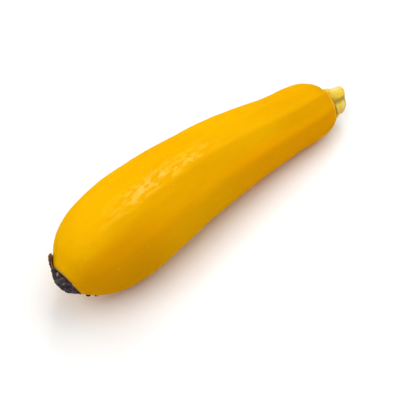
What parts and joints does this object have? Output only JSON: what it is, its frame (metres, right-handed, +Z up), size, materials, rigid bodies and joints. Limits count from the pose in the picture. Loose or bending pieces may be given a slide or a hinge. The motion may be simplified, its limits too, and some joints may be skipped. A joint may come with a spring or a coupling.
{
  "type": "zucchini",
  "caption": "Whole yellow zucchini, plump at the blossom end and slimmer towards a ridged shoulder, with a short ribbed cut stem and a dark dried blossom scar, lying on its side.",
  "frame": {"origin": "bottom centre of the whole zucchini's box, on the surface it lies on", "axes": "+X along the fruit towards the stem, +Z up, and +Y to the side that the fruit bows towards"},
  "size_m": [0.1876, 0.0522, 0.0502],
  "materials": {
    "skin": null,
    "stem": null,
    "dried_blossom": null
  },
  "bodies": {
    "root": {"fruit": "skin", "stem": "stem", "blossom_scar": "dried_blossom"}
  },
  "joints": []
}
